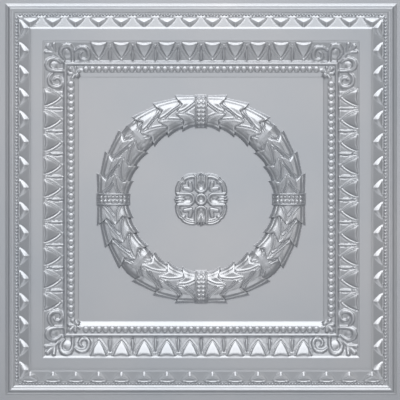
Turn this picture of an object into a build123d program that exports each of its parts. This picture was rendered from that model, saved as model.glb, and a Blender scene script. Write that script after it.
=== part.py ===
from math import atan2, cos, degrees, radians, sin
import os

from build123d import *

# Sheet and outline of a 24 inch lay-in tile, millimetres
tile_side = 603.0
sheet = 0.8
flange = 9.9

# Widths of the border from the flange inwards, and heights above the flat panel
step_run = 1.7
step_high = 1.3
step_flat = 1.4
rim_rise = 3.1
rim_crest = 1.7
rim_high = 5.9
shelf_run = 3.2
shelf_high = 4.9
rim_fall = 3.0
groove = 4.7
groove_high = 3.3
small_pearl_high = 1.7
strip_edge = 0.8
strip_foot = 3.9
strip = 17.0
strip_high = 6.4
table_step = 1.4
table = 17.6
table_high = 7.3
line_step = 3.2
line_drop = 0.8
band = 26.6
band_foot = 2.9
bead_rise = 4.2
bead_crest = 1.2
bead_fall = 2.1
bead_high = 5.3
pearl_bed = 9.6
pearl_bed_high = 3.1
pearl_high = 2.7
inner_slope = 7.4

# Teeth, tongues and darts share one pitch
pitch = 33.95
teeth = 16
tooth_half = 14.6
tooth_bulge = 2.6
tooth_peak_in = 10.0
tooth_peak_high = 9.0
tooth_apex_in = 17.4
tongues = 10
tongue_half = 14.4
tongue_long = 28.2
tongue_bulge = 3.2
tongue_rim = 1.5
tongue_edge = 3.6
tongue_crown = 2.6
tongue_crown_at = 0.25
dart_half = 2.7
dart_wide_at = 18.6
dart_crown = 2.2
draft = 32.0

# Corner scrolls, measured on the tongue band
hook_along = 199.5
hook_down = 16.5
hook_radius = 12.6
coil_along = 176.0
coil_down = 17.5
coil_radius = 11.0
scroll_rim = 2.6
scroll_wall = 4.4
scroll_floor = 0.6
scroll_sides = 8

# Leaves in the corners: distances along the diagonal, half widths and heights above the panel
frame_leaf_root = 215.0
frame_leaf_tip = 229.0
frame_leaf_half = 3.6
frame_leaf_high = 8.4
frame_leaf_turn = 38
stem_foot = 204.5
stem_half = 3.0
stem_high = 6.8
inner_leaf_root = 194.0
inner_leaf_tip = 179.0
inner_leaf_half = 5.4
inner_leaf_high = 6.6
inner_leaf_turn = 42

# Wreath
wreath_radius = 131.1
wreath_half = 22.8
wreath_high = 12.0
shoulder_high = 8.4
crest_half = 5.0
shoulder_half = 15.0
core_sides = 24
whorls = 3
whorl_step = 13.0
first_tip = 14.6
outer_tip = 28.0
inner_tip = 26.4
flank_keel_high = 12.0
crest_keel_high = 15.0
tail_behind = 19.0
strap_wide = 15.8
strap_rise = 1.6

# Rosette
rosette_radius = 41.5
rosette_high = 4.2
bay_at = 20.5
bay_wide = 12.8
bay_deep = 2.6
dish_at = 28.0
dish_radius = 7.0
dish_deep = 2.0
dish_sides = 8
boss_radius = 8.0
boss_high = 6.6
sunk = 6.0
under = 1.0

half = tile_side / 2
x_flange = half - flange
x_step = x_flange - step_run
x_rim = x_step - step_flat
x_crest = x_rim - rim_rise
x_crest_in = x_crest - rim_crest
x_shelf = x_crest_in - shelf_run
x_groove = x_shelf - rim_fall
x_strip = x_groove - groove
x_strip_in = x_strip - strip
x_table = x_strip_in - table_step
x_table_in = x_table - table
x_band = x_table_in - line_step
x_band_in = x_band - band
x_bead = x_band_in - bead_rise
x_bead_in = x_bead - bead_crest
x_bed = x_bead_in - bead_fall
x_bed_in = x_bed - pearl_bed
x_panel = x_bed_in - inner_slope
band_high = table_high - line_drop
tilt = atan2(band_high - band_foot, band)
band_plane = Plane(
    origin=(x_band, 0, sheet + band_high),
    x_dir=(0, 1, 0),
    z_dir=(-sin(tilt), 0, cos(tilt)),
)


def polar(radius, angle):
    return (radius * cos(radians(angle)), radius * sin(radians(angle)))


def floor_foot(peak, point):
    """Where a line from the peak through a point of the surface meets the floor."""
    reach = peak[2] / (peak[2] - point[2])
    return (peak[0] + (point[0] - peak[0]) * reach, peak[1] + (point[1] - peak[1]) * reach)


# One tooth of the outer strip: a low pyramid with curved sides and its point turned inwards
tooth_peak = (x_strip - tooth_peak_in, 0, sheet + tooth_peak_high)
tooth_base_z = sheet + groove_high
tooth_side_z = sheet + (strip_foot + strip_high) / 2
tooth_side_half = tooth_half / 2 + tooth_bulge
tooth_outline = [
    floor_foot(tooth_peak, (x_strip, -tooth_half, tooth_base_z)),
    floor_foot(tooth_peak, (x_strip, tooth_half, tooth_base_z)),
    floor_foot(tooth_peak, (x_strip - tooth_apex_in / 2, tooth_side_half, tooth_side_z)),
    floor_foot(tooth_peak, (x_strip - tooth_apex_in, 0, sheet + strip_high)),
    floor_foot(tooth_peak, (x_strip - tooth_apex_in / 2, -tooth_side_half, tooth_side_z)),
]
with BuildSketch() as tooth_base:
    Polygon(*tooth_outline, align=None)
with BuildPart() as tooth:
    loft(sections=[tooth_base.face(), Vertex(*tooth_peak)], ruled=True)

# One tongue: a shield with a raised rim round a keeled leaf
with BuildSketch(Plane.XY.offset(-under)) as tongue_base:
    Polygon(
        (-tongue_half, 0),
        (tongue_half, 0),
        (tongue_half / 2 + tongue_bulge, tongue_long / 2),
        (0, tongue_long),
        (-tongue_half / 2 - tongue_bulge, tongue_long / 2),
        align=None,
    )
with BuildPart() as tongue:
    add(tongue_base.sketch)
    extrude(amount=under + tongue_rim, taper=draft)
    with BuildSketch(Plane.XY) as hollow:
        add(tongue_base.sketch.moved(Location((0, 0, under))))
        offset(amount=-tongue_edge, kind=Kind.INTERSECTION, mode=Mode.REPLACE)
    extrude(amount=under + tongue_rim, taper=-draft, mode=Mode.SUBTRACT)
    loft(
        sections=[
            hollow.face().moved(Location((0, 0, -under / 2))),
            Vertex(0, tongue_long * tongue_crown_at, tongue_crown),
        ],
        ruled=True,
    )

# One dart between two tongues: a narrow spindle
with BuildSketch(Plane.XY.offset(-under)) as dart_base:
    Polygon(
        (0, dart_wide_at / 3),
        (dart_half * 1.5, dart_wide_at),
        (dart_half / 2, tongue_long + dart_half),
        (-dart_half / 2, tongue_long + dart_half),
        (-dart_half * 1.5, dart_wide_at),
        align=None,
    )
with BuildPart() as dart:
    loft(
        sections=[dart_base.face(), Vertex(0, dart_wide_at, dart_crown)],
        ruled=True,
    )


# A scroll of the corners: a ring with sloping sides round a hollow
def scroll(radius):
    with BuildPart() as disc:
        with BuildSketch(Plane.XY.offset(-under)):
            RegularPolygon(radius, scroll_sides)
        extrude(amount=under + scroll_rim, taper=draft)
        with BuildSketch(Plane.XY.offset(scroll_floor)):
            RegularPolygon(radius - scroll_wall, scroll_sides)
        extrude(amount=scroll_rim, taper=-draft, mode=Mode.SUBTRACT)
    return disc.part


# One side of the border with its mitred ends
with BuildPart() as side:
    with BuildSketch(Plane.XZ):
        with BuildLine():
            Polyline(
                (x_flange + step_run, sheet - step_high),
                (x_flange, sheet),
                (x_step, sheet + step_high),
                (x_rim, sheet + step_high),
                (x_crest, sheet + rim_high),
                (x_crest_in, sheet + rim_high),
                (x_shelf, sheet + shelf_high),
                (x_groove, sheet + groove_high),
                (x_groove - groove * 0.3, sheet + groove_high + small_pearl_high),
                (x_groove - groove * 0.7, sheet + groove_high + small_pearl_high),
                (x_strip, sheet + groove_high),
                (x_strip - strip_edge, sheet + strip_foot),
                (x_strip_in, sheet + strip_high),
                (x_table, sheet + table_high),
                (x_table_in, sheet + table_high),
                (x_band, sheet + band_high),
                (x_band_in, sheet + band_foot),
                (x_bead, sheet + bead_high),
                (x_bead_in, sheet + bead_high),
                (x_bed, sheet + pearl_bed_high),
                (x_bed - pearl_bed * 0.3, sheet + pearl_bed_high + pearl_high),
                (x_bed - pearl_bed * 0.7, sheet + pearl_bed_high + pearl_high),
                (x_bed_in, sheet + pearl_bed_high),
                (x_panel, sheet),
                (x_panel - inner_slope, sheet - pearl_bed_high),
                close=True,
            )
        make_face()
    extrude(amount=half, both=True)
    with GridLocations(1, pitch, 1, teeth):
        add(tooth.part)
    with Locations(band_plane.location):
        with GridLocations(pitch, 1, tongues, 1):
            add(tongue.part)
        with GridLocations(pitch, 1, tongues - 1, 1):
            add(dart.part)
        with Locations((hook_along, hook_down), (-hook_along, hook_down)):
            add(scroll(hook_radius))
        with Locations((coil_along, coil_down), (-coil_along, coil_down)):
            add(scroll(coil_radius))
    with BuildSketch(Plane.XY.offset(-sunk)):
        Polygon((0, 0), (half, -half), (half, half), align=None)
    extrude(amount=sunk * 4, mode=Mode.INTERSECT)


# A keeled leaf: a low pyramid from its tail, over two flanks, to its free tip
def kite(tail, outer, inner, tip, keel, keel_high, low=-sheet):
    with BuildSketch(Plane.XY.offset(sheet + low)) as foot:
        Polygon(tail, inner, tip, outer, align=None)
    with BuildPart() as blade:
        loft(
            sections=[foot.face(), Vertex(*keel, sheet + keel_high)],
            ruled=True,
        )
    return blade.part


# The same, with its five points given as distance and angle from the middle of the tile
def leaf(tail, outer, inner, tip, keel, keel_high):
    return kite(polar(*tail), polar(*outer), polar(*inner), polar(*tip), polar(*keel), keel_high)


# A leaf that starts on the diagonal of one corner and turns off it
def corner_kite(start, end, wide, high, low, turn=0.0, keel_at=0.6):
    angle = atan2(end - start, end - start) + radians(turn)
    run = abs(end - start) * 2**0.5
    middle = run * keel_at

    def spot(ahead, aside):
        return (
            start + ahead * cos(angle) - aside * sin(angle),
            start + ahead * sin(angle) + aside * cos(angle),
        )

    return kite(
        spot(-under, 0), spot(middle, wide), spot(middle, -wide), spot(run, 0), spot(middle, 0), high, low
    )


with BuildPart() as corner:
    for turn in (-frame_leaf_turn, 0, frame_leaf_turn):
        add(
            corner_kite(
                frame_leaf_root, frame_leaf_tip, frame_leaf_half, frame_leaf_high, band_foot + under, turn
            )
        )
    add(corner_kite(stem_foot, frame_leaf_root + stem_half, stem_half, stem_high, band_foot - under))
    for turn in (-inner_leaf_turn, 0, inner_leaf_turn):
        add(
            corner_kite(
                inner_leaf_root, inner_leaf_tip, inner_leaf_half, inner_leaf_high, -under, turn, 0.55
            )
        )

# A short straight piece of the wreath's core, mitred to its neighbours
mid = wreath_radius
with BuildPart() as stick:
    with BuildSketch(Plane.XZ):
        with BuildLine():
            Polyline(
                (mid - wreath_half - under, sheet - under),
                (mid - wreath_half, sheet),
                (mid - shoulder_half, sheet + shoulder_high),
                (mid - crest_half, sheet + wreath_high),
                (mid + crest_half, sheet + wreath_high),
                (mid + shoulder_half, sheet + shoulder_high),
                (mid + wreath_half, sheet),
                (mid + wreath_half + under, sheet - under),
                close=True,
            )
        make_face()
    extrude(amount=mid, both=True)
    with BuildSketch(Plane.XY.offset(-sunk)):
        Polygon((0, 0), polar(half, -180 / core_sides), polar(half, 180 / core_sides), align=None)
    extrude(amount=sunk * 6, mode=Mode.INTERSECT)

# One eighth of the wreath, from the middle of a strap to the diagonal
with BuildPart() as eighth:
    with PolarLocations(0, core_sides // 8, start_angle=180 / core_sides, angular_range=45):
        add(stick.part)
    for i in range(whorls):
        tip = first_tip + whorl_step * i
        add(
            leaf(
                (mid + crest_half * 2, tip - tail_behind),
                (mid + outer_tip - 3, tip - 8),
                (mid + crest_half, tip - 6),
                (mid + outer_tip, tip),
                (mid + shoulder_half, tip - 4.5),
                flank_keel_high,
            )
        )
        add(
            leaf(
                (mid - crest_half * 2, tip - tail_behind),
                (mid - crest_half, tip - 6),
                (mid - inner_tip + 2, tip - 9),
                (mid - inner_tip, tip + 0.4),
                (mid - shoulder_half, tip - 5.5),
                flank_keel_high,
            )
        )
        add(
            leaf(
                (mid, tip - tail_behind + 2),
                (mid + crest_half * 2.2, tip - 5),
                (mid - crest_half * 2.2, tip - 5),
                (mid, tip + 4),
                (mid, tip - 3),
                crest_keel_high,
            )
        )
    with BuildSketch(Plane.XY.offset(-sunk)):
        Polygon((0, 0), (half, 0), (half, half), align=None)
    extrude(amount=sunk * 6, mode=Mode.INTERSECT)

# Strap round the wreath
with BuildPart() as strap:
    with BuildSketch(Plane((mid, 0, sheet - under))):
        Rectangle(2 * (wreath_half + 6), strap_wide)
    extrude(amount=wreath_high + strap_rise + 6, taper=12)
    with BuildSketch(Plane.XZ) as strap_section:
        Polygon(
            (mid - wreath_half - strap_rise, sheet - under),
            (mid - shoulder_half - strap_rise, sheet + shoulder_high),
            (mid - crest_half, sheet + wreath_high + strap_rise),
            (mid + crest_half, sheet + wreath_high + strap_rise),
            (mid + shoulder_half + strap_rise, sheet + shoulder_high),
            (mid + wreath_half + strap_rise, sheet - under),
            align=None,
        )
    extrude(amount=strap_wide, both=True, mode=Mode.INTERSECT)

# Rosette: a round plate with four bays on the axes, four dished lobes, and a boss
with BuildPart() as bay:
    with BuildSketch(Plane.XY.offset(sheet + rosette_high - bay_deep)):
        Polygon(
            (bay_at - bay_wide / 2, bay_wide / 4),
            (bay_at, bay_wide / 2),
            (rosette_radius * 1.2, bay_wide / 2),
            (rosette_radius * 1.2, -bay_wide / 2),
            (bay_at, -bay_wide / 2),
            (bay_at - bay_wide / 2, -bay_wide / 4),
            align=None,
        )
    extrude(amount=rosette_high, taper=-draft)
with BuildPart() as dish:
    with BuildSketch(Plane.XY.offset(sheet + rosette_high - dish_deep)):
        RegularPolygon(dish_radius, dish_sides)
    extrude(amount=rosette_high, taper=-draft)
with BuildPart() as rosette:
    with BuildSketch(Plane.XY.offset(sheet - under)):
        RegularPolygon(rosette_radius, core_sides)
    extrude(amount=under + rosette_high, taper=draft)
    with PolarLocations(0, 4):
        add(bay.part, mode=Mode.SUBTRACT)
    with PolarLocations(dish_at, 4, start_angle=45):
        add(dish.part, mode=Mode.SUBTRACT)
    with BuildSketch(Plane.XY.offset(sheet)):
        RegularPolygon(boss_radius, dish_sides)
    extrude(amount=boss_high, taper=draft / 2)

# Whole face of the tile as a solid block
with BuildPart() as block:
    with Locations((0, 0, sheet - sunk)):
        Box(tile_side, tile_side, sunk, align=(Align.CENTER, Align.CENTER, Align.MIN))
    with PolarLocations(0, 4):
        add(side.part)
        add(strap.part)
        add(corner.part)
    with PolarLocations(0, 4):
        add(eighth.part)
        add(mirror(eighth.part, about=Plane.XZ, mode=Mode.PRIVATE))
    add(rosette.part)

# The formed sheet: the same face, less itself let down by the sheet thickness
with BuildPart() as ceiling_tile:
    add(block.part)
    with Locations((0, 0, -sheet)):
        add(block.part, mode=Mode.SUBTRACT)

ceiling_tile.part.label = "ceiling_tile"
os.makedirs("parts", exist_ok=True)
export_step(ceiling_tile.part, "parts/ceiling_tile.step")
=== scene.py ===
import math

import bpy
import numpy as np
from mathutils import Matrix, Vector


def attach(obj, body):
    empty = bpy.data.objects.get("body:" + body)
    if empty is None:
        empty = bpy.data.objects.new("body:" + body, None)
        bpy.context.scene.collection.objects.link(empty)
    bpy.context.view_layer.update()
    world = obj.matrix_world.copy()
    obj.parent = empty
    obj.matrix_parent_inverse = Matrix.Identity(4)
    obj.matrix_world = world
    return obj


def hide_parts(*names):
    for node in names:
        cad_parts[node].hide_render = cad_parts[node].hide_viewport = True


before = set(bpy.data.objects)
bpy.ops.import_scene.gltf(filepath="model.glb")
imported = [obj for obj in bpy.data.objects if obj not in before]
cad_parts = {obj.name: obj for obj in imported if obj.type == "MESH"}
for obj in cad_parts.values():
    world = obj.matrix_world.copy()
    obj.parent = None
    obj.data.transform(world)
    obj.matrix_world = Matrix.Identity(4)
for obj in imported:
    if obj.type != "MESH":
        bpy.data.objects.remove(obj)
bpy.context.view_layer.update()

MM = 0.001

# The tile lies face up, its middle at the origin. Sizes are in millimetres and heights are over
# the flat panel. s is a point's distance from the middle, taken square to the nearest side.
HALF = 301.5                         # half the side of the tile
SHEET = 0.8                          # thickness of the sheet

# The formed sheet is one piece; its mesh is cut along these squares
SEAM_RIM = 277.2                     # edge mouldings, toothed strip
SEAM_OUT = 246.0                     # toothed strip, tongue frame
SEAM_BEAD = 199.0                    # tongue frame, pearl frame
SEAM_IN = 174.0                      # pearl frame, wreath panel
SEAM_ROSE = 54.0                     # wreath panel, rosette

# Section of the border: s, height
SECTION = (
    (140.0, 0.0), (181.6, 0.0), (182.4, 0.12), (183.4, 0.5), (188.6, 2.85), (189.8, 3.1),
    (199.0, 3.1), (199.6, 3.4), (200.8, 4.9), (201.8, 5.4), (202.8, 5.3), (203.6, 4.8),
    (205.8, 1.4), (206.8, 1.0), (233.2, 6.4), (234.0, 6.6), (235.8, 7.2), (236.6, 7.35),
    (237.6, 7.3), (254.0, 7.3), (254.6, 7.15), (255.8, 6.3), (272.0, 4.4), (272.8, 3.8),
    (273.4, 3.3), (277.3, 3.3), (277.9, 3.5), (279.4, 4.7), (280.0, 4.85), (281.6, 4.95),
    (282.2, 5.2), (283.0, 5.8), (283.7, 5.95), (284.6, 5.9), (285.3, 5.4), (287.9, 1.9),
    (288.5, 1.45), (289.7, 1.3), (290.3, 1.1), (291.3, 0.2), (292.0, 0.0), (301.5, 0.0),
)
SECTION_BLUR = 0.35                  # how far the section's corners are rounded

# Teeth and tongues share one pitch; a tooth stands on the strip with its base outwards
PITCH = 33.95
TOOTH_BASE = 272.8
TOOTH_HALF = 15.2
TOOTH_LONG = 17.9
TOOTH_CURVE = 1.75                   # power of the curve of its sides in plan
TOOTH_SLOPE = 0.45                   # slope of its two sides
TOOTH_GROOVE = 1.7                   # width of the groove along them
TOOTH_FRONT = 0.4                    # slope of its front
TOOTH_STEP = 1.1                     # height of the front at its foot
STEP_LONG = 3.2                      # how far in the slope of the front begins
BASE_BOW = 2.6                       # rise of the arc of its base, and half its width
BASE_BOW_HALF = 14.8
BASE_BACK = 2.2                      # how far in the ends of the arc lie
TIP_FADE = (17.6, 18.6)              # where its tip runs out

# Tongues: half widths of the whole and of the core, and height of the core, against s
TONGUE = ((205.2, 0.0), (208.0, 2.7), (211.5, 5.7), (215.0, 8.3), (218.5, 10.6), (222.0, 12.5),
          (226.0, 14.1), (231.0, 15.0), (235.0, 15.4))
CORE = ((210.6, 0.0), (212.5, 2.3), (216.0, 5.1), (222.2, 8.9), (228.0, 11.5), (233.0, 13.1))
CORE_HIGH = ((210.6, 0.3), (214.0, 0.9), (220.0, 1.8), (228.0, 2.6), (234.0, 2.9))
CORE_START = 210.2
CORE_END = 232.8
TIP_RIM = ((205.2, 0.5), (207, 3.8), (210.2, 6.5))  # width of the rim before the core starts
RIM_HIGH = 0.9
LEAN = 0.85                          # turns a width into a distance across a slanting side
BAND_IN = (205.0, 206.2)             # where the relief of the band grows from nothing
BAND_OUT = (233.4, 235.4)            # and where it runs out again
# Darts between them: half width against s, and a knob beyond the end of each
DART = ((205.5, 1.2), (211.0, 2.2), (216.0, 2.8), (221.0, 2.0), (228.0, 0.4))
DART_END = 228.0
DART_HIGH = 2.0
KNOB_AT = 228.6
KNOB_HALF = 1.7
KNOB_HIGH = 0.9

# Corner scrolls, as (distance along the side, s): centre lines and half widths
SCROLL_FROM = 160.0                  # scrolls lie from here to the corner
TONGUES_TO = 165.5                   # and tongues and darts up to here
SCROLL_IN = (203.4, 205.4)           # where the relief of the corner grows from nothing, in s
SCROLL_OUT = (233.8, 235.4)          # and where it runs out again
HOOK = ((191.3, 204.0), (191.2, 216.0), (192.6, 223.2), (196.0, 227.8), (200.6, 229.2),
        (205.6, 227.6), (209.0, 223.6), (209.8, 218.6), (207.8, 213.6), (203.6, 208.6))
HOOK_HALF = (2.4, 2.5, 3.4, 4.0, 4.1, 3.9, 3.4, 3.0, 2.6, 1.8)
HOOK_HIGH = 3.2
HOOK_EYE = (199.8, 217.5, 6.6, 1.3)  # place, radius and height of the swelling inside it
COIL = ((187.6, 221.0), (184.6, 224.6), (180.4, 226.4), (175.6, 226.6), (171.4, 224.8),
        (168.6, 221.4), (167.2, 216.8), (167.4, 211.8), (170.0, 208.4), (174.2, 207.4),
        (178.6, 208.8), (181.0, 212.4), (180.6, 216.6), (177.8, 219.0))
COIL_HALF = (1.6, 2.3, 2.7, 3.0, 3.1, 3.1, 3.1, 3.1, 3.0, 2.9, 2.8, 2.6, 2.2, 1.6)
COIL_HIGH = 2.8
# Leaf on the diagonal: stem, then lobes from their common root, as end and half width
STEM = (219.5, 219.5, 205.0, 205.0)
LOBE_ROOT = 217.6
LOBES = ((228.2, 228.2, 3.3), (219.4, 230.4, 2.9), (230.6, 219.2, 2.9))
PITS = ((211.6, 223.6), (223.6, 211.6))

# Leaf cluster in the inner corner: ball, then lobes as end, half width and height
BALL_AT, BALL_HALF, BALL_HIGH = 184.6, 4.0, 4.2
CLUSTER_FROM = 177.0
CLUSTER_ROOT = 187.4
CLUSTER = ((194.6, 194.6, 3.2, 3.2), (187.4, 196.2, 2.6, 2.6), (196.2, 187.4, 2.6, 2.6),
           (180.2, 192.0, 2.4, 2.6), (192.0, 180.2, 2.4, 2.6))

# Wreath: an eighth runs from a strap to the diagonal in four whorls of leaves that overlap
WREATH = 131.0                       # radius of its middle line
WHORL_ENDS = (3.5, 15.5, 28.1, 41.5, 54.6)
# Free edge of a whorl: distance from the middle line, degrees ahead of the whorl's end
CROWN = ((-27.0, 0.0), (-20.0, -1.3), (-12.0, -3.2), (-5.0, -0.9), (0.0, 0.8), (3.2, 0.8),
         (8.0, -1.9), (13.0, -4.2), (17.0, -3.1), (21.8, -2.2), (30.0, -1.3))
# Lines beside the crest leaf: way along the whorl, distance from the middle line
UPPER = ((0.0, 14.8), (0.12, 12.4), (0.66, 2.4), (1.0, 1.8))
LOWER = ((0.0, -11.0), (0.11, -9.2), (0.6, -1.6), (1.0, 1.4))
# Widths on both sides of the middle line and height: each at the root, and what it gains
OUTER_HALF, OUTER_FLARE = 23.8, 5.2
INNER_HALF, INNER_FLARE = 22.0, 4.4
ROOT_HIGH, WHORL_RISE = 10.0, 2.0
STRAP_HALF = 8.9                     # half the width of a strap
STRAP_REACH = 24.6                   # half its length, across the wreath
STRAP_HIGH = 12.4
STRAP_BEAD_PITCH = 6.3

# Rosette: rim of a lobe, as depth inside the outline and height
LOBE_RIM = ((-0.5, 0.0), (0.1, 0.6), (0.8, 2.6), (1.6, 3.3), (2.9, 2.3), (4.6, 3.7), (5.6, 3.3),
            (7.6, 1.0), (9.0, 0.6))
LOBE_AT, LOBE_RADIUS, LOBE_DIAGONAL = 12.0, 26.4, 42.4
LOOP_AT, LOOP_RADIUS, LOOP_HALF = 19.4, 8.3, 2.5
BOSS_RING, BOSS_HALF, BOWL_RADIUS = 6.9, 2.7, 5.6

SPOKES = 672                         # steps of the mesh round half of the panel


def smooth(x, lo, hi):
    """Rises from 0 at lo to 1 at hi."""
    t = np.clip((x - lo) / (hi - lo), 0.0, 1.0)
    return t * t * (3.0 - 2.0 * t)


def hump(d, w):
    """A rounded bead of half width w at distance d from its line."""
    return np.sqrt(np.clip(1.0 - (d / w) ** 2, 0.0, 1.0))


def bell(d, w):
    """A soft line of half width w at distance d from its middle."""
    return np.exp(-(d / w) ** 2)


def along(x, table):
    points = np.array(table)
    return np.interp(x, points[:, 0], points[:, 1])


def section(s):
    sides = along(s - SECTION_BLUR, SECTION) + along(s + SECTION_BLUR, SECTION)
    return (sides + 2.0 * along(s, SECTION)) / 4.0


def to_segment(x, y, ax, ay, bx, by):
    """Distance to a straight run, and how far along it, 0 to 1."""
    dx, dy = bx - ax, by - ay
    t = np.clip(((x - ax) * dx + (y - ay) * dy) / (dx * dx + dy * dy), 0.0, 1.0)
    return np.hypot(x - ax - t * dx, y - ay - t * dy), t


def from_nearest(a, offset):
    """Signed distance along the side from the nearest of a row; offset, in pitches, shifts it."""
    return np.mod(a + PITCH * offset, PITCH) - PITCH / 2


def tooth(v, m):
    """Height over the strip of a three-sided tooth; v inwards from its base, m along."""
    u = v + BASE_BOW * (1.0 - (m / BASE_BOW_HALF) ** 2) - BASE_BACK
    q = np.clip(v / TOOTH_LONG, 0.0, 1.0)
    edge = TOOTH_HALF * (1.0 - q ** TOOTH_CURVE) - np.abs(m)
    side = TOOTH_SLOPE * (edge - TOOTH_GROOVE)
    front = TOOTH_STEP + TOOTH_FRONT * np.clip(v - STEP_LONG, 0.0, None)
    front = front + 0.5 * bell(u - 0.9, 0.8) - 0.5 * bell(u - 2.7, 0.9)
    foot = -0.65 * smooth(edge, -0.2, 1.4)
    z = np.maximum(np.minimum(side, front), foot) * smooth(u, -0.2, 0.9)
    return np.where(v < TIP_FADE[1], z * (1.0 - smooth(v, *TIP_FADE)), 0.0)


def border_outer(x, y):
    s = np.maximum(np.abs(x), np.abs(y))
    a = np.where(np.abs(x) >= np.abs(y), y, x)
    return section(s) + tooth(TOOTH_BASE - s, from_nearest(a, 8))


def tongue_band(s, a):
    """Relief of tongues and darts; a is the distance along the side."""
    m = from_nearest(a, 5)
    w_out, w_in = along(s, TONGUE), along(s, CORE)
    ends = smooth(s, *BAND_IN) * (1.0 - smooth(s, *BAND_OUT))
    e = (w_out - np.abs(m)) * LEAN
    width = np.where(s > CORE_START, np.maximum(w_out - w_in, 0.8), along(s, TIP_RIM))
    rim = RIM_HIGH * hump(e / (LEAN * width) * 2.0 - 1.0, 1.0) ** 0.5 * (e > 0)
    share = np.abs(m) / np.maximum(w_in, 0.3)
    dome = along(s, CORE_HIGH) * np.clip(1.0 - share ** 2.8, 0.0, None) ** 0.5
    core = np.minimum(dome, 0.85 * np.clip(CORE_END - s, 0.0, None) + 0.02 * m ** 2)
    core = np.where(np.abs(m) < w_in, core, 0.0) * smooth(233.6 - s, 0.0, 1.3)
    lines = 0.7 * bell(e, 0.9)
    lines = lines + 1.3 * bell((np.abs(m) - w_in) * LEAN, 0.95) * (s > 209.8)
    n = from_nearest(a, 5.5)
    w_dart = along(s, DART)
    dart = DART_HIGH * hump(n, np.maximum(w_dart, 0.1)) ** 1.4 * (s < DART_END)
    lines = lines + 0.9 * bell(np.abs(n) - w_dart - 0.4, 0.85) * (s < DART_END)
    knob = KNOB_HIGH * hump(np.hypot(n, (s - KNOB_AT) * 0.8), KNOB_HALF)
    z = np.where(np.abs(m) < w_out, np.maximum(rim, core), np.maximum(dart, knob))
    return (z - lines) * ends


def ribbon(x, y, pts, half):
    """How deep inside a rounded ribbon each point lies: 1 on its centre line, 0 outside."""
    best = np.zeros(np.shape(x))
    for i in range(len(pts) - 1):
        d, t = to_segment(x, y, *pts[i], *pts[i + 1])
        w = half[i] + (half[i + 1] - half[i]) * t
        best = np.maximum(best, 1.0 - d / w)
    return best


def scrolls(s, b):
    """Hook and coil on either side of the corner, and the leaf on its diagonal."""
    hook = ribbon(b, s, HOOK, HOOK_HALF)
    coil = ribbon(b, s, COIL, COIL_HALF)
    z = HOOK_HIGH * np.sqrt(np.clip(1.0 - (1.0 - hook) ** 2, 0.0, 1.0)) * (hook > 0)
    crease = bell(np.hypot(b - 199.6, s - 219.0) - 9.6, 0.6)
    z = z - 0.5 * crease * (s > 217.0) * (hook > 0)
    round_coil = np.sqrt(np.clip(1.0 - (1.0 - coil) ** 2, 0.0, 1.0)) * (coil > 0)
    z = np.maximum(z, COIL_HIGH * round_coil)
    eye_b, eye_s, eye_radius, eye_high = HOOK_EYE
    z = np.maximum(z, eye_high * hump(np.hypot(b - eye_b, s - eye_s), eye_radius) ** 1.5)
    d, t = to_segment(b, s, *STEM)
    z = np.maximum(z, 1.9 * hump(d, 2.6 - 0.8 * t))
    for end_b, end_s, w in LOBES:
        d, t = to_segment(b, s, LOBE_ROOT, LOBE_ROOT, end_b, end_s)
        z = np.maximum(z, (1.6 + 1.3 * t) * hump(d, w * (0.6 + 0.5 * t)))
    for pit_b, pit_s in PITS:
        z = z - 0.9 * bell(np.hypot(b - pit_b, s - pit_s), 1.9)
    # the ground round hook and coil is sunk
    return z - 0.3 * (hook <= 0) - 0.3 * (coil <= 0)


def leaf_cluster(s, b):
    """Small leaf in the inner corner of the border."""
    z = BALL_HIGH * hump(np.hypot(b - BALL_AT, s - BALL_AT), BALL_HALF)
    for end_b, end_s, w, high in CLUSTER:
        d, t = to_segment(b, s, CLUSTER_ROOT, CLUSTER_ROOT, end_b, end_s)
        z = np.maximum(z, (0.5 + 0.5 * t) * high * hump(d, w * (0.6 + 0.5 * t)))
    return z


def border_inner(x, y):
    ax, ay = np.abs(x), np.abs(y)
    s = np.maximum(ax, ay)
    a = np.where(ax >= ay, y, x)
    b = np.minimum(ax, ay)
    z = section(s) + np.where((b < TONGUES_TO) & (s > 204.0), tongue_band(s, a), 0.0)
    near = (b >= SCROLL_FROM) & (s > SCROLL_IN[0]) & (s < SCROLL_OUT[1])
    fade = 1.0 - smooth(s[near], *SCROLL_OUT)
    z[near] += scrolls(s[near], b[near]) * smooth(s[near], *SCROLL_IN) * fade
    near = (b > CLUSTER_FROM) & (s < SEAM_BEAD)
    z[near] += leaf_cluster(s[near], b[near])
    return z


def way_along_whorl(t, rho):
    """0 at the root of the whorl that a point lies on, 1 at its free edge."""
    crown = along(rho, CROWN)
    p = np.zeros(t.shape)
    for k in range(len(WHORL_ENDS) - 1):
        lo = WHORL_ENDS[k] + (crown if k else 0.0)
        hi = WHORL_ENDS[k + 1] + crown
        p = np.where((t >= lo) & (t < hi), (t - lo) / (hi - lo), p)
    return p


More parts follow.
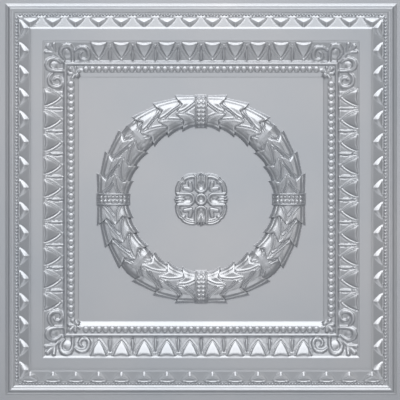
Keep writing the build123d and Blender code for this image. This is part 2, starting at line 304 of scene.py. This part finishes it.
def leaves(t, rho):
    """Height of the wreath's leaves; t in degrees from a strap, rho from the middle line."""
    p = way_along_whorl(t, rho)
    out = OUTER_HALF + OUTER_FLARE * p ** 1.7
    inn = INNER_HALF + INNER_FLARE * p ** 1.7
    f = np.where(rho > 0, rho / out, -rho / inn)
    body = np.clip(1.0 - np.clip(f, 0, 1) ** (2.0 + 1.6 * p ** 2), 0.0, 1.0) ** 0.56
    live = smooth(body, 0.05, 0.4)
    away = smooth(np.abs(rho - 1.5), 6.0, 12.0) * (1.0 - 0.6 * smooth(rho, 16.0, 24.0))
    z = body * (ROOT_HIGH + WHORL_RISE * np.minimum(p / 0.89, 1.0) - away * smooth(p, 0.89, 1.0))
    z = z * (1.0 - 0.22 * smooth(p, 0.6, 1.0) * smooth(np.abs(rho), 10.0, 24.0))
    # arms of the crest leaf, converging on its tip, each with a narrow leaf beside it
    up = rho - along(p, UPPER)
    dn = rho - along(p, LOWER)
    fade = smooth(p, 0.0, 0.1) * (1.0 - smooth(p, 0.85, 1.0)) * (1.0 - smooth(t, 40.0, 44.0))
    fade = fade * live
    z = z - fade * 0.9 * (bell(up, 1.0) + bell(dn, 1.0))
    z = z + fade * (bell(up - 2.5, 1.6) + bell(dn + 2.5, 1.6))
    rib = fade * (1.0 - smooth(p, 0.5, 0.8))
    z = z + rib * (bell(up + 2.8, 1.3) - 1.3 * bell(up + 5.4, 1.2)) * smooth(dn, 1.0, 4.0)
    z = z + rib * 0.9 * bell(dn - 2.8, 1.3) * smooth(-up, 3.0, 6.0)
    tip = smooth(p, 0.35, 0.95) * (up < 1.0) * (dn > -1.0)
    z = z + live * 1.2 * bell(rho - 1.6, 2.6) * tip
    # midribs of the outer and inner leaves
    keel = rho - 20.2 - 2.6 * p ** 2
    z = z + fade * (0.3 * bell(keel - 2.4, 1.4) - 0.6 * bell(keel, 1.4) + 0.3 * bell(keel + 3.2, 2.0))
    keel = rho + 16.6 + 3.4 * p ** 2
    return z + fade * (0.3 * bell(keel + 2.2, 1.4) - 0.5 * bell(keel, 1.4))


def strap(across, rho):
    """Height of a strap laid over the wreath, with two rows of beads between two edge rolls."""
    w = np.abs(across)
    share = np.clip(np.abs(rho) / STRAP_REACH, 0, 1)
    body = np.clip(1.0 - share ** 2.6, 0.0, 1.0) ** 0.7 * STRAP_HIGH
    beads = np.mod(rho + 22.0, STRAP_BEAD_PITCH) - STRAP_BEAD_PITCH / 2
    rows = 1.4 * hump(w - 7.6, 1.3)
    for line in (-3.1, 3.1):
        rows = np.maximum(rows, 1.6 * hump(np.hypot(beads, across - line), 2.6))
    return body + (rows - 1.0 * (w < 6.4)) * smooth(body, 0.3, 4.0)


def wreath(x, y):
    r = np.hypot(x, y)
    turn = np.degrees(np.arctan2(y, x))
    ang = np.mod(turn, 90.0)
    z = leaves(np.minimum(ang, 90.0 - ang), r - WREATH)
    across = (np.mod(turn + 45.0, 90.0) - 45.0) * math.pi / 180.0 * r
    return np.maximum(np.where(np.abs(across) < STRAP_HALF, strap(across, r - WREATH), z), 0.0)


def rosette(x, y):
    ax, ay = np.abs(x), np.abs(y)
    u, w = np.maximum(ax, ay), np.minimum(ax, ay)
    r = np.hypot(x, y)
    # four lobes in a double rim, flatter on the diagonals, with a short ridge there
    deep = LOBE_RADIUS - np.hypot(ax - LOBE_AT, ay - LOBE_AT)
    flat = LOBE_DIAGONAL - (ax + ay) * math.sqrt(0.5) + 0.03 * (ax - ay) ** 2
    deep = np.minimum(deep, flat)
    z = along(deep, LOBE_RIM)
    d, _ = to_segment(u, w, 31.0, 31.0, 25.4, 25.4)
    z = np.maximum(z, 3.2 * hump(d, 3.0) * (deep > 4.0))
    # leaf in each lobe: a thick root with two swelling tips
    d, q = to_segment(u, w, 15.2, 15.0, 24.6, 16.6)
    z = np.maximum(z, (0.5 + 3.1 * hump(d, 3.6 - 0.3 * q)) * (deep > 5.0))
    # loops round the pockets on the axes
    cap, _ = to_segment(u, w, LOOP_AT, 0, 50.0, 0)
    inside = smooth(deep, 0.0, 2.4)
    z = np.where(cap < 8.0, inside, z)
    loop = (1.0 + 3.2 * hump(cap - LOOP_RADIUS, LOOP_HALF)) * inside
    z = np.maximum(z, loop * (np.abs(cap - LOOP_RADIUS) < LOOP_HALF))
    bowl = np.clip(np.hypot((u - 20.6) * 0.74, w) / 5.9, 0.0, 1.0)
    z = np.where((cap < 6.0) & (u < 34.0), 0.2 + 2.5 * bowl ** 2, z)
    stem = 3.9 * hump(w, 1.5) * smooth(u, 21.0, 25.0) * (1.0 - smooth(u, 38.4, 40.4))
    prong = 3.6 * hump(w - 3.7, 1.3) * smooth(u, 27.0, 30.0) * (1.0 - smooth(u, 37.2, 39.2))
    z = np.maximum(z, np.maximum(stem, prong))
    # boss: a ring round a bowl
    z = np.where(r < BOSS_RING + BOSS_HALF, 1.0 + 3.6 * hump(r - BOSS_RING, BOSS_HALF), z)
    z = np.where(r < BOWL_RADIUS, 1.2 + 3.0 * (r / BOWL_RADIUS) ** 2, z)
    return np.maximum(z, 0.0)


def add_object(name, verts, faces):
    mesh = bpy.data.meshes.new(name)
    mesh.from_pydata(verts.tolist(), [], faces)
    mesh.update()
    mesh.shade_smooth()
    mesh.set_sharp_from_angle(angle=math.radians(70))
    ob = bpy.data.objects.new(name, mesh)
    bpy.context.scene.collection.objects.link(ob)
    return ob


def wall(faces, top, low, flip):
    """Closes a slab between a fine edge line above and one with half its points below."""
    for i in range(len(low) - 1):
        t0, t1, t2 = int(top[2 * i]), int(top[2 * i + 1]), int(top[2 * i + 2])
        b0, b1 = int(low[i]), int(low[i + 1])
        for tri in ((t0, t1, b0), (t1, b1, b0), (t1, t2, b1)):
            faces.append(list(tri[::-1] if flip else tri))


def cells(idx, kept, flip, mitred):
    """Faces of a grid of points; on the two mitre lines each cell is cut along the mitre."""
    n = len(kept)
    i, j = np.nonzero(kept)
    q = np.stack([idx[i, j], idx[i + 1, j], idx[i + 1, j + 1], idx[i, j + 1]], axis=-1)
    up = (i == j) & mitred
    down = (i + j == n - 1) & mitred
    faces = q[~(up | down)].tolist()
    faces += q[up][:, [0, 1, 2]].tolist() + q[up][:, [0, 2, 3]].tolist()
    faces += q[down & ~up][:, [0, 1, 3]].tolist() + q[down & ~up][:, [1, 2, 3]].tolist()
    return [f[::-1] for f in faces] if flip else faces


def grid_slab(px, py, kept, height, mitred=False):
    """A slab over a grid of plan points; the underside has every second point."""
    n, m = px.shape
    z = height(px.ravel(), py.ravel()).reshape(n, m)
    top = np.stack([px, py, z + SHEET], axis=-1).reshape(-1, 3)
    low = np.stack([px[::2, ::2], py[::2, ::2], z[::2, ::2]], axis=-1)
    idx = np.arange(n * m).reshape(n, m)
    jdx = n * m + np.arange(low.shape[0] * low.shape[1]).reshape(low.shape[:2])
    faces = cells(idx, kept, False, mitred) + cells(jdx, kept[::2, ::2], True, mitred)
    return np.concatenate([top, low.reshape(-1, 3)]), faces, idx, jdx


def outer_walls(faces, idx, jdx):
    """Walls on the four outer sides of a grid slab."""
    wall(faces, idx[:, 0], jdx[:, 0], True)
    wall(faces, idx[:, -1], jdx[:, -1], False)
    wall(faces, idx[0, :], jdx[0, :], False)
    wall(faces, idx[-1, :], jdx[-1, :], True)


def compact(verts, faces):
    """Drops the points that no face uses and turns millimetres into metres."""
    used = np.zeros(len(verts), dtype=bool)
    for f in faces:
        used[f] = True
    new = np.cumsum(used) - 1
    return verts[used] * MM, [new[f].tolist() for f in faces]


def spaced(*runs):
    """Grid positions from runs of (start, end, step); the count of steps is kept even."""
    out = [runs[0][0]]
    for a, b, step in runs:
        n = max(1, int(round((b - a) / step)))
        out += list(np.linspace(a, b, n + 1)[1:])
    if len(out) % 2 == 0:
        i = int(np.argmax(np.diff(out)))
        out.insert(i + 1, (out[i] + out[i + 1]) / 2)
    return out


def square_ring(name, lo, dense, step, height):
    """A mitred square frame; dense are the grid lines across it, step the spacing along it."""
    edge = np.array(dense)
    n = int(round(lo / step)) * 2
    lines = np.concatenate([-edge[::-1], np.linspace(-lo, lo, n + 1)[1:-1], edge])
    px, py = np.meshgrid(lines, lines, indexing="ij")
    first, last = len(edge) - 1, len(lines) - len(edge)
    kept = np.ones((len(lines) - 1, len(lines) - 1), dtype=bool)
    kept[first:last, first:last] = False
    verts, faces, idx, jdx = grid_slab(px, py, kept, height, True)
    outer_walls(faces, idx, jdx)
    h, g = first // 2, last // 2
    wall(faces, idx[first:last + 1, first], jdx[h:g + 1, h], False)
    wall(faces, idx[first:last + 1, last], jdx[h:g + 1, g], True)
    wall(faces, idx[first, first:last + 1], jdx[h, h:g + 1], True)
    wall(faces, idx[last, first:last + 1], jdx[g, h:g + 1], False)
    return add_object(name, *compact(verts, faces))


def panel_piece(name, start):
    """Half of the panel with half of the wreath, from the angle start round to its opposite."""
    turn = start + np.linspace(0, math.pi, SPOKES + 1)
    c, s = np.cos(turn), np.sin(turn)
    square = 1.0 / np.maximum(np.abs(c), np.abs(s))
    circle = np.ones(SPOKES + 1)
    rings = [SEAM_ROSE * square, 0.5 * SEAM_ROSE * square + 0.5 * 84.0]
    fine = spaced((98.0, 102.5, 2.25), (102.5, 163.5, 0.66), (163.5, 166.5, 1.5))
    rings += [r * circle for r in fine]
    rings += [0.5 * SEAM_IN * square + 0.5 * 169.0, SEAM_IN * square]
    if len(rings) % 2 == 0:
        rings.insert(2, 91.0 * circle)
    radius = np.array(rings)
    kept = np.ones((len(rings) - 1, SPOKES), bool)
    verts, faces, idx, jdx = grid_slab(radius * c, radius * s, kept, wreath)
    outer_walls(faces, idx, jdx)
    return add_object(name, *compact(verts, faces))


def rosette_piece():
    lines = np.array(spaced((-SEAM_ROSE, -44.0, 3.0), (-44.0, 44.0, 0.6), (44.0, SEAM_ROSE, 3.0)))
    px, py = np.meshgrid(lines, lines, indexing="ij")
    kept = np.ones((len(lines) - 1, len(lines) - 1), bool)
    verts, faces, idx, jdx = grid_slab(px, py, kept, rosette)
    outer_walls(faces, idx, jdx)
    return add_object("rosette", *compact(verts, faces))


def pearls(name, centres, radii, base_high, around, rings):
    """Domes as one mesh; each centre is (x, y, angle), radii are along x, y and up."""
    rx, ry, rz = radii
    verts, faces = [], []
    for x, y, a in centres:
        base = len(verts)
        ca, sa = math.cos(a), math.sin(a)
        for i in range(rings):
            f = math.pi / 2 * i / rings
            for j in range(around):
                g = 2 * math.pi * j / around
                lx, ly = rx * math.cos(f) * math.cos(g), ry * math.cos(f) * math.sin(g)
                spot = (x + lx * ca - ly * sa, y + lx * sa + ly * ca)
                verts.append((*spot, base_high + rz * math.sin(f)))
        verts.append((x, y, base_high + rz))
        top = len(verts) - 1
        for i in range(rings - 1):
            lo, hi = base + i * around, base + (i + 1) * around
            for j in range(around):
                k = (j + 1) % around
                faces.append((lo + j, lo + k, hi + k, hi + j))
        last = base + (rings - 1) * around
        for j in range(around):
            faces.append((last + j, last + (j + 1) % around, top))
        faces.append([base + j for j in range(around)][::-1])
    return add_object(name, np.array(verts) * MM, faces)


def four_rows(dist, pitch, count):
    """Centres of pearls in a straight row on each side of the square."""
    out = []
    for q in range(4):
        a = q * math.pi / 2
        ca, sa = math.cos(a), math.sin(a)
        for i in range(count):
            t = (i - (count - 1) / 2) * pitch
            out.append((dist * ca - t * sa, dist * sa + t * ca, a))
    return out


rim_lines = spaced((SEAM_RIM, 293.0, 0.4), (293.0, HALF, 4.2))
tooth_lines = spaced((SEAM_OUT, 253.4, 3.7), (253.4, SEAM_RIM, 0.85))
tongue_lines = spaced((SEAM_BEAD, 237.8, 0.9), (237.8, SEAM_OUT, 4.1))
pearl_lines = spaced((SEAM_IN, 180.6, 3.3), (180.6, SEAM_BEAD, 0.7))
small_centres = four_rows(275.1, 4.95, 110)
large_centres = four_rows(194.0, 9.82, 36)
pieces = [
    square_ring("edge_mouldings", SEAM_RIM, rim_lines, 12.0, border_outer),
    square_ring("toothed_strip", SEAM_OUT, tooth_lines, 1.03, border_outer),
    square_ring("tongue_frame", SEAM_BEAD, tongue_lines, 1.12, border_inner),
    square_ring("pearl_frame", SEAM_IN, pearl_lines, 4.0, border_inner),
    panel_piece("wreath_panel_a", 0.0),
    panel_piece("wreath_panel_b", math.pi),
    rosette_piece(),
    pearls("small_pearls", small_centres, (2.1, 2.15, 1.9), SHEET + 3.1, 10, 4),
    pearls("large_pearls", large_centres, (5.1, 4.88, 2.45), SHEET + 3.0, 20, 6),
]


def silver_film():
    """Satin silver film: slow changes of colour and a fine grain in gloss and height."""
    material = bpy.data.materials.new("silver_film")
    material.use_nodes = True
    tree = material.node_tree
    bsdf = tree.nodes["Principled BSDF"]
    place = tree.nodes.new("ShaderNodeTexCoord")

    def noise(scale, detail):
        node = tree.nodes.new("ShaderNodeTexNoise")
        node.inputs["Scale"].default_value = scale
        node.inputs["Detail"].default_value = detail
        tree.links.new(place.outputs["Object"], node.inputs["Vector"])
        return node.outputs["Fac"]

    ramp = tree.nodes.new("ShaderNodeValToRGB")
    low, high = ramp.color_ramp.elements
    low.position, low.color = 0.3, (0.50, 0.52, 0.55, 1)
    high.position, high.color = 0.7, (0.56, 0.56, 0.575, 1)
    tree.links.new(noise(5.0, 3.0), ramp.inputs["Fac"])
    tree.links.new(ramp.outputs["Color"], bsdf.inputs["Base Color"])
    grain = noise(900.0, 2.0)
    rough = tree.nodes.new("ShaderNodeMapRange")
    rough.inputs["To Min"].default_value = 0.27
    rough.inputs["To Max"].default_value = 0.32
    tree.links.new(grain, rough.inputs["Value"])
    tree.links.new(rough.outputs["Result"], bsdf.inputs["Roughness"])
    bump = tree.nodes.new("ShaderNodeBump")
    bump.inputs["Strength"].default_value = 0.025
    bump.inputs["Distance"].default_value = 0.0002
    tree.links.new(grain, bump.inputs["Height"])
    tree.links.new(bump.outputs["Normal"], bsdf.inputs["Normal"])
    bsdf.inputs["Metallic"].default_value = 0.85
    return material


film = silver_film()
for ob in pieces:
    ob.data.materials.append(film)
    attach(ob, "root")
    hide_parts("ceiling_tile")


def plain_floor(half=4.0):
    mesh = bpy.data.meshes.new("floor")
    corners = [(-half, -half, 0), (half, -half, 0), (half, half, 0), (-half, half, 0)]
    mesh.from_pydata(corners, [], [(0, 1, 2, 3)])
    floor = bpy.data.objects.new("floor", mesh)
    bpy.context.scene.collection.objects.link(floor)
    pale = bpy.data.materials.new("floor_pale")
    pale.use_nodes = True
    bsdf = pale.node_tree.nodes["Principled BSDF"]
    bsdf.inputs["Base Color"].default_value = (0.8, 0.8, 0.8, 1)
    bsdf.inputs["Roughness"].default_value = 0.9
    mesh.materials.append(pale)
    return floor


plain_floor()

world = bpy.data.worlds.new("world")
bpy.context.scene.world = world
world.use_nodes = True
sky = world.node_tree.nodes["Background"]
sky.inputs["Color"].default_value = (0.93, 0.96, 1.0, 1)
sky.inputs["Strength"].default_value = 0.31


def area(name, loc, target, size, power, colour):
    """A rectangular lamp in metres and watts, facing its target."""
    data = bpy.data.lights.new(name, "AREA")
    data.shape = "RECTANGLE"
    data.size, data.size_y = size
    data.energy = power
    data.color = colour
    ob = bpy.data.objects.new(name, data)
    bpy.context.scene.collection.objects.link(ob)
    ob.location = loc
    ob.rotation_euler = (Vector(target) - Vector(loc)).to_track_quat("-Z", "Y").to_euler()


area("top_box", (0.0, 0.18, 3.3), (0, 0.18, 0), (1.66, 1.7), 6.25, (0.975, 0.985, 1.0))
area("key", (0.0, 3.72, 3.95), (0, 0, 0), (7.0, 4.3), 175.0, (0.985, 0.995, 1.0))
area("key_low", (0.0, 4.6, 1.1), (0, 0, 0), (4.2, 2.6), 38.0, (0.985, 0.995, 1.0))
area("fill", (0.0, -2.1, 2.2), (0, 0, 0), (2.6, 2.0), 11.5, (0.97, 0.985, 1.0))
area("side_left", (-2.1, 0.0, 1.9), (0, 0, 0), (2.6, 0.9), 4.6, (0.97, 0.98, 1.0))
area("side_right", (2.1, 0.0, 1.9), (0, 0, 0), (2.6, 0.9), 5.0, (1.0, 0.99, 0.98))

# The camera looks straight down. A pixel of the photograph covers PIXEL of the tile, in metres,
# at the height SCALE_HIGH over the floor
PIXEL = 1.49 * MM
PHOTO_WIDE = 400
LENS = 180.0
SENSOR = 36.0
SCALE_HIGH = 0.005
lens = bpy.data.cameras.new("camera")
lens.sensor_width = SENSOR
lens.lens = LENS
lens.clip_end = 50.0
camera = bpy.data.objects.new("camera", lens)
bpy.context.scene.collection.objects.link(camera)
camera.location = (-1.1 * PIXEL, -0.7 * PIXEL, PHOTO_WIDE * PIXEL * LENS / SENSOR + SCALE_HIGH)
camera.rotation_euler = (0, 0, 0)
bpy.context.scene.camera = camera
bpy.context.scene.view_settings.view_transform = "Standard"
